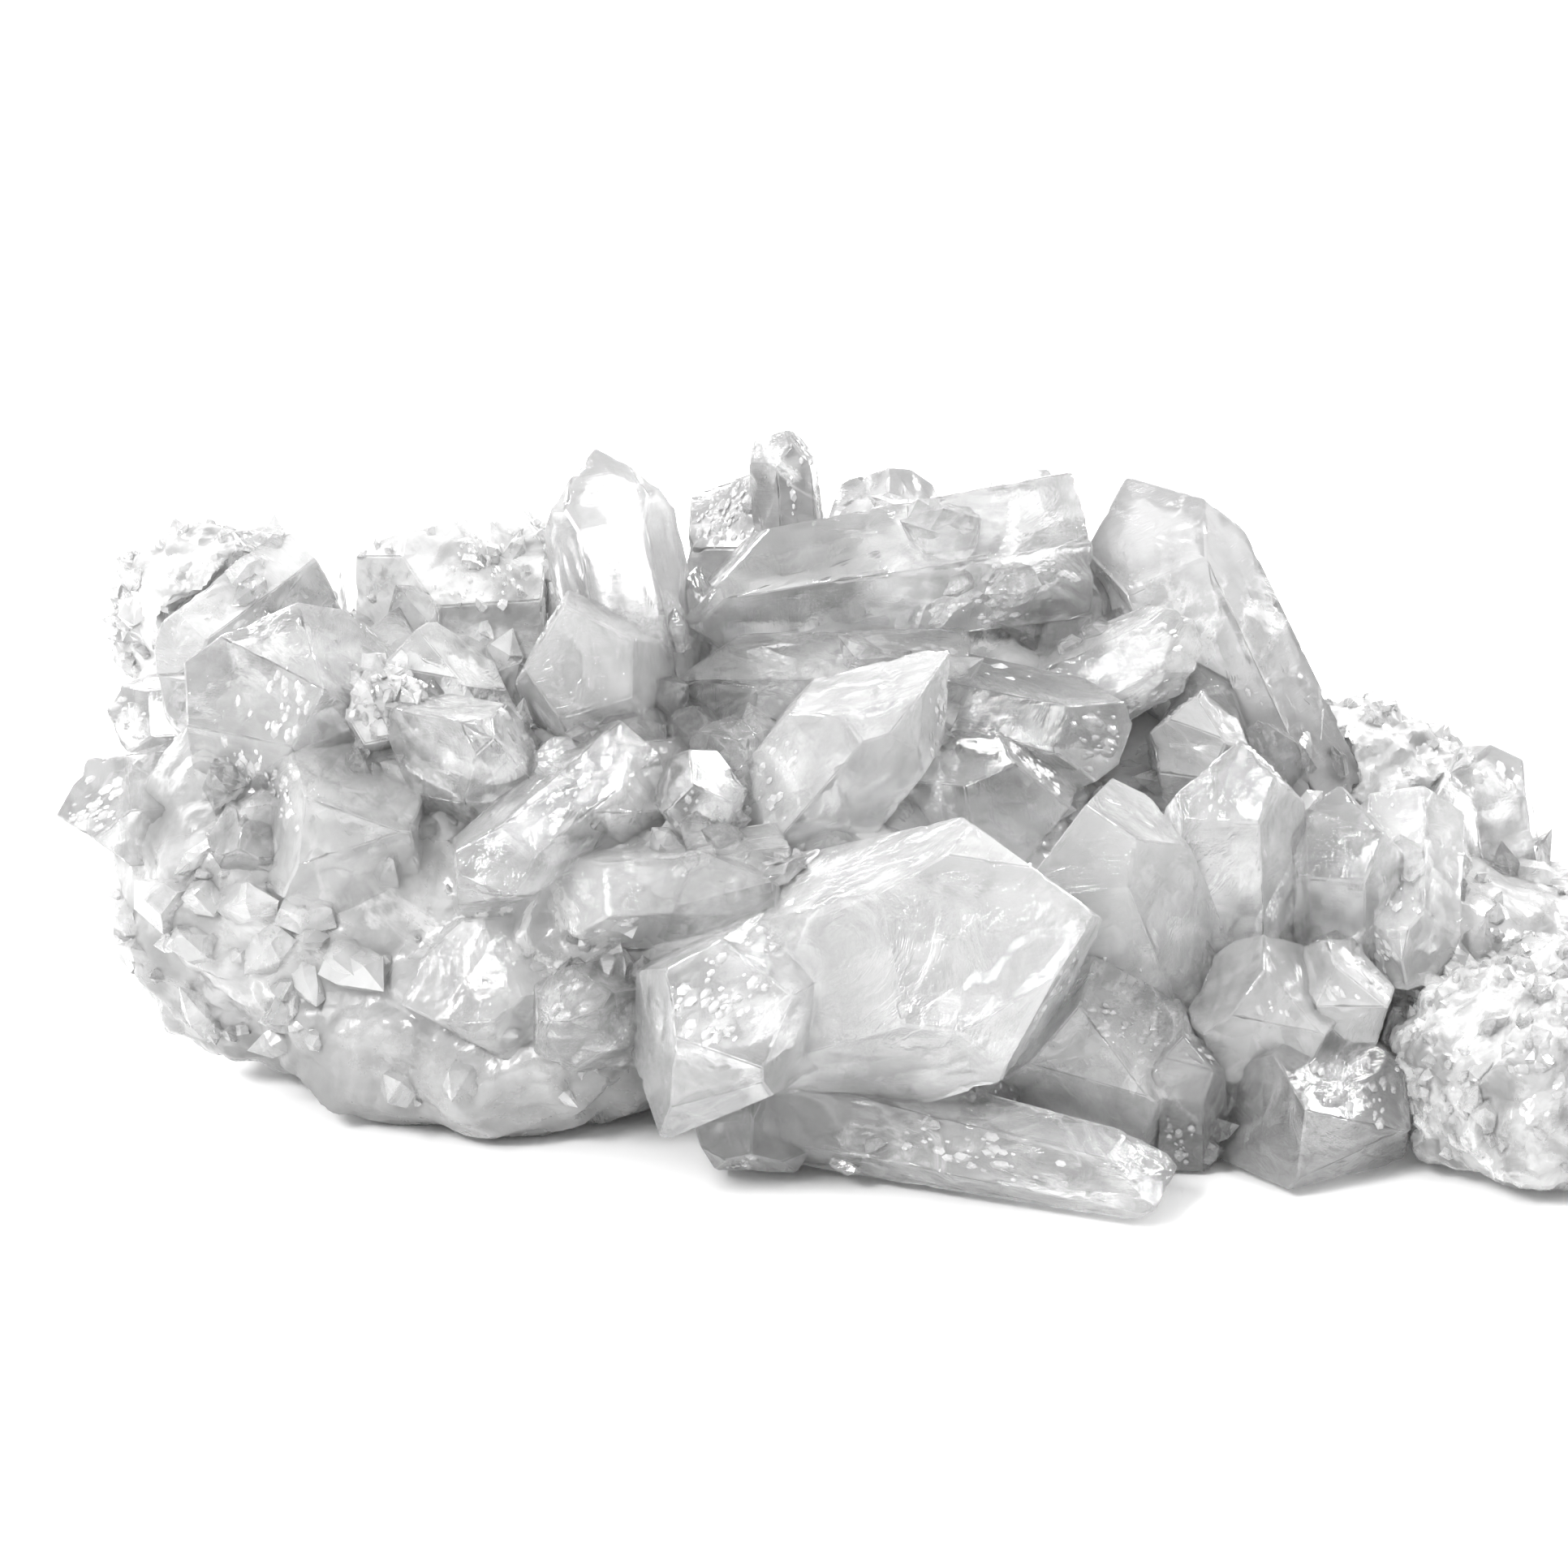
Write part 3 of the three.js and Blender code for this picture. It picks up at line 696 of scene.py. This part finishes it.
# clear, cloudy: tone outside and inside the clouds. shade: how much darker the large dark zones are
finishes = {
    "clearQuartz": {
        "clear": 1.0, "cloudy": 0.84, "shade": 0.24, "smooth": 0.01, "frosted": 0.18,
        "transmission": 0.90, "cloudScale": 120.0, "cloudStart": 0.46, "cloudEnd": 0.70,
        "bump": 0.60, "grainScale": 900.0,
    },
    "brightQuartz": {
        "clear": 1.0, "cloudy": 0.88, "shade": 0.16, "smooth": 0.02, "frosted": 0.22,
        "transmission": 0.80, "cloudScale": 110.0, "cloudStart": 0.44, "cloudEnd": 0.68,
        "bump": 0.60, "grainScale": 800.0,
    },
    "milkyQuartz": {
        "clear": 0.98, "cloudy": 0.74, "shade": 0.24, "smooth": 0.04, "frosted": 0.28,
        "transmission": 0.72, "cloudScale": 110.0, "cloudStart": 0.42, "cloudEnd": 0.66,
        "bump": 0.60, "grainScale": 700.0,
    },
    # a greyer tone; on the base crystals it is painted shade
    "greyAndShadedQuartz": {
        "clear": 0.72, "cloudy": 0.50, "shade": 0.25, "smooth": 0.03, "frosted": 0.22,
        "transmission": 0.80, "cloudScale": 110.0, "cloudStart": 0.44, "cloudEnd": 0.70,
        "bump": 0.60, "grainScale": 800.0,
    },
    "dullQuartz": {
        "clear": 0.40, "cloudy": 0.29, "shade": 0.25, "smooth": 0.10, "frosted": 0.36,
        "transmission": 0.50, "cloudScale": 110.0, "cloudStart": 0.44, "cloudEnd": 0.70,
        "bump": 0.50, "grainScale": 800.0,
    },
    "massQuartz": {
        "clear": 0.41, "cloudy": 0.29, "shade": 0.25, "smooth": 0.16, "frosted": 0.48,
        "transmission": 0.30, "cloudScale": 90.0, "cloudStart": 0.40, "cloudEnd": 0.62,
        "bump": 0.7, "grainScale": 650.0,
    },
    "whiteQuartz": {
        "clear": 0.68, "cloudy": 0.36, "shade": 0.20, "smooth": 0.10, "frosted": 0.45,
        "transmission": 0.45, "cloudScale": 150.0, "cloudStart": 0.42, "cloudEnd": 0.60,
        "bump": 0.7, "grainScale": 650.0,
    },
}


# what all quartz finishes share. Scales are in noise cells for each metre
surfaceLook = {
    "zoneScale": 42.0, "zoneStart": 0.44, "zoneEnd": 0.62,  # the large dark zones
    "wispScale": 75.0, "wispThinness": 16.0, "wispGlow": 0.35,
    "fleckSize": 0.3, "fleckPatches": 0.5,
    "lineSpacing": 2.6, "lineBreakUp": 0.6,
    "waveShare": 0.9,  # of the bump, beside the growth lines
    "bumpHeight": 0.14 * mm,
    "ior": 1.544,
}


# a quartz finish: clouds, dark zones and wisps set the tone; clouds, wisps and flecks roughen it;
# growth lines, waves and grain make the bump
def quartzMaterial(name, finish, onCrystal):
    look = surfaceLook
    material = bpy.data.materials.new(name)
    material.use_nodes = True
    tree = material.node_tree
    shader = tree.nodes["Principled BSDF"]
    cloud = placeGroup(tree, clouds, {
        "Scale": finish["cloudScale"], "Start": finish["cloudStart"], "End": finish["cloudEnd"]})
    zone = placeGroup(tree, clouds, {
        "Scale": look["zoneScale"], "Start": look["zoneStart"], "End": look["zoneEnd"]})
    wisp = placeGroup(tree, wisps, {"Scale": look["wispScale"], "Thinness": look["wispThinness"]})
    speck = placeGroup(tree, flecks, {
        "Scale": finish["grainScale"], "Size": look["fleckSize"], "Patches": look["fleckPatches"]})
    milky = blendValue(tree, cloud, finish["clear"], finish["cloudy"])
    dark = blendValue(tree, zone, 1.0, 1 - finish["shade"])
    tone = maths(tree, "MULTIPLY", milky, dark)
    tone = maths(tree, "ADD", tone, maths(tree, "MULTIPLY", wisp, look["wispGlow"]), True)
    tree.links.new(greyOf(tree, tone), shader.inputs["Base Color"])
    rough = maths(tree, "MAXIMUM", maths(tree, "MAXIMUM", cloud, speck), wisp)
    roughness = blendValue(tree, rough, finish["smooth"], finish["frosted"])
    tree.links.new(roughness, shader.inputs["Roughness"])
    relief = placeGroup(tree, grain, {"Scale": finish["grainScale"]})
    if onCrystal:
        lines = placeGroup(tree, growthLines, {
            "Spacing": look["lineSpacing"], "Break Up": look["lineBreakUp"]})
        relief = maths(tree, "ADD", lines, maths(tree, "MULTIPLY", relief, rough))
        place = addNode(tree, "ShaderNodeTexCoord").outputs["Object"]
        waves = noiseNode(tree, place, finish["grainScale"] / 2, 4.0, 0.55)
        relief = maths(tree, "ADD", relief, maths(tree, "MULTIPLY", waves, look["waveShare"]))
    bump = addNode(tree, "ShaderNodeBump", {}, {
        "Height": relief, "Strength": finish["bump"], "Distance": look["bumpHeight"]})
    tree.links.new(bump.outputs[0], shader.inputs["Normal"])
    shader.inputs["IOR"].default_value = look["ior"]
    shader.inputs["Transmission Weight"].default_value = finish["transmission"]
    return material


# a veil: a white mist with a spray of brighter specks, clear between them, and a painted glow: an
# emission, stronger at the specks, that brightens it inside the crystal though it is no lamp
def veilMaterial(name, mist, spray):
    material = bpy.data.materials.new(name)
    material.use_nodes = True
    tree = material.node_tree
    shader = tree.nodes["Principled BSDF"]
    cloud = placeGroup(tree, clouds, {"Scale": 230.0, "Start": 0.40, "End": 0.66})
    speck = placeGroup(tree, flecks, {"Scale": 1900.0, "Size": 0.55, "Patches": 0.2})
    thick = maths(tree, "ADD", maths(tree, "MULTIPLY", speck, spray), mist)
    alpha = maths(tree, "MULTIPLY", cloud, thick, True)
    tree.links.new(alpha, shader.inputs["Alpha"])
    tree.links.new(blendGrey(tree, speck, 0.9, 1.0), shader.inputs["Base Color"])
    # painted glow: the veil emits light, brighter at the specks, as if lit inside the crystal
    tree.links.new(blendGrey(tree, speck, 0.25, 0.8), shader.inputs["Emission Color"])
    shader.inputs["Emission Strength"].default_value = 0.6
    shader.inputs["Roughness"].default_value = 0.3
    return material


materials = {
    "clear": quartzMaterial("clearQuartz", finishes["clearQuartz"], True),
    "bright": quartzMaterial("brightQuartz", finishes["brightQuartz"], True),
    "milky": quartzMaterial("milkyQuartz", finishes["milkyQuartz"], True),
    "grey": quartzMaterial("greyAndShadedQuartz", finishes["greyAndShadedQuartz"], True),
    "dull": quartzMaterial("dullQuartz", finishes["dullQuartz"], True),
    "mass": quartzMaterial("massQuartz", finishes["massQuartz"], False),
    "white": quartzMaterial("whiteQuartz", finishes["whiteQuartz"], False),
    "small": quartzMaterial("smallQuartz", finishes["milkyQuartz"], False),
    "side": quartzMaterial("sideQuartz", finishes["clearQuartz"], False),
    "veil": veilMaterial("veilMistWithPaintedGlow", 0.32, 0.8),
}


# a piece gets its material, the body that it rides and the CAD nodes that it stands for
def finishPiece(piece, material, nodes=()):
    piece.data.materials.append(materials[material])
    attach(piece, "root")
    if nodes:
        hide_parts(*nodes)


bodies = {name: crystalBody(name, crystalLook) for name in sorted(clearNodes) + milkyNodes}
print("crystal bodies read:", len(bodies))
for name, body in bodies.items():
    kind = "milky" if name in milkyNodes else "clear"
    finish = kind
    # the grey finish is a grey tone, and on the base crystals painted shade
    others = {"dull": dullNodes, "grey": greyAndShadedNodes, "white": whiteNodes, "bright": brightNodes}
    for other, names in others.items():
        finish = other if name in names else finish
    crystal = crystalPiece(name, body, crystalLook)
    finishPiece(crystal, finish, [name])
    if name in whiteNodes:
        count, longest = smallCrystalLook["whiteCount"], smallCrystalLook["longestOnLump"]
        small = lumpCrystals("small_crystals_" + name, crystal, count, longest, smallCrystalLook)
        finishPiece(small, "small")
print("crystals made:", len(bodies))
for name in lumpNodes:
    onMass = name == "quartz_mass"
    lump = lumpPiece(name, lumpLook)
    finish, slot = ("mass", "mass_quartz") if onMass else ("white", "milky_quartz")
    finishPiece(lump, finish, [name])
    count = smallCrystalLook["massCount" if onMass else "lumpCount"]
    longest = smallCrystalLook["longest" if onMass else "longestOnLump"]
    small = lumpCrystals("small_crystals_" + name, lump, count, longest, smallCrystalLook)
    finishPiece(small, "small")
print("mass and lumps:", len(lumpNodes))
allBodies = list(bodies.values())
finishPiece(sideCrystals("side_crystals", allBodies, smallCrystalLook), "side")
finishPiece(faceFlakes("face_flakes", allBodies, flakeLook), "small")
clearBodies = [bodies[name] for name in sorted(clearNodes)]
milkyBodies = [bodies[name] for name in milkyNodes]
innerVeils = veilPiece("inner_veils", clearBodies, veilLook["inClear"], veilLook)
finishPiece(innerVeils, "veil")
milkyVeils = veilPiece("milky_veils", milkyBodies, veilLook["inMilky"], veilLook)
finishPiece(milkyVeils, "veil")
print("side crystals, flakes and veils done")

studio = {
    "floorHalf": 4.0, "floorTone": 0.95,
    "horizon": 0.36, "overhead": 2.10,  # brightness of the surroundings, low down and high up
    "lights": [  # place, size, watts
        ((-0.35, 0.50, 0.60), 0.26, 8.5),
        ((0.50, 0.35, 0.50), 0.20, 6.5),
        ((-0.40, -0.60, 0.60), 0.20, 6.5),
    ],
}
cameraView = {
    "tilt": 20.0, "distance": 0.60, "lens": 139.7,
    "right": -7.5 * mm, "back": -4 * mm, "up": 31.5 * mm,
}


def addFloor(look):
    half = look["floorHalf"]
    corners = np.array([[-half, -half, 0], [half, -half, 0], [half, half, 0], [-half, half, 0]])
    floor = meshObject("floor", corners, [[0, 1, 2, 3]])
    material = bpy.data.materials.new("paleFloor")
    material.use_nodes = True
    shader = material.node_tree.nodes["Principled BSDF"]
    shader.inputs["Base Color"].default_value = (look["floorTone"],) * 3 + (1,)
    shader.inputs["Roughness"].default_value = 0.9
    floor.data.materials.append(material)


def aim(thing, target):
    thing.rotation_euler = (Vector(target) - thing.location).to_track_quat("-Z", "Y").to_euler()


def addLights(look):
    for i, (place, size, watts) in enumerate(look["lights"]):
        data = bpy.data.lights.new(f"softbox{i}", "AREA")
        data.size = size
        data.energy = watts
        light = bpy.data.objects.new(f"softbox{i}", data)
        light.location = place
        aim(light, (0, 0, 0.02))
        bpy.context.scene.collection.objects.link(light)


# the surroundings brighten evenly upwards, and a little towards the back and the left
def addWorld(look):
    world = bpy.data.worlds.new("studio")
    world.use_nodes = True
    tree = world.node_tree
    shade = tree.nodes["Background"]
    place = addNode(tree, "ShaderNodeTexCoord").outputs["Generated"]
    way = addNode(tree, "ShaderNodeSeparateXYZ", {}, {0: place}).outputs
    aside = maths(tree, "SUBTRACT", maths(tree, "MULTIPLY", way[1], 0.15), maths(
        tree, "MULTIPLY", way[0], 0.25))
    height = maths(tree, "ADD", way[2], aside)
    tone = addNode(tree, "ShaderNodeMapRange", {}, {
        "Value": height, "From Min": 0.0, "From Max": 0.75,
        "To Min": look["horizon"], "To Max": look["overhead"]})
    tree.links.new(tone.outputs[0], shade.inputs["Strength"])
    shade.inputs["Color"].default_value = (1, 1, 1, 1)
    bpy.context.scene.world = world


def addCamera(look):
    tilt = math.radians(look["tilt"])
    target = (look["right"], look["back"], look["up"])
    data = bpy.data.cameras.new("camera")
    data.lens = look["lens"]
    camera = bpy.data.objects.new("camera", data)
    camera.location = (
        target[0],
        target[1] - look["distance"] * math.cos(tilt),
        target[2] + look["distance"] * math.sin(tilt),
    )
    aim(camera, target)
    bpy.context.scene.collection.objects.link(camera)
    bpy.context.scene.camera = camera


addFloor(studio)
addLights(studio)
addWorld(studio)
addCamera(cameraView)
scene = bpy.context.scene
scene.view_settings.view_transform = "Standard"
scene.cycles.max_bounces = 14
scene.cycles.transmission_bounces = 14
scene.cycles.transparent_max_bounces = 12
pieces = [thing for thing in scene.objects if thing.type == "MESH"]
print("studio done, faces in all:", sum(len(piece.data.polygons) for piece in pieces))
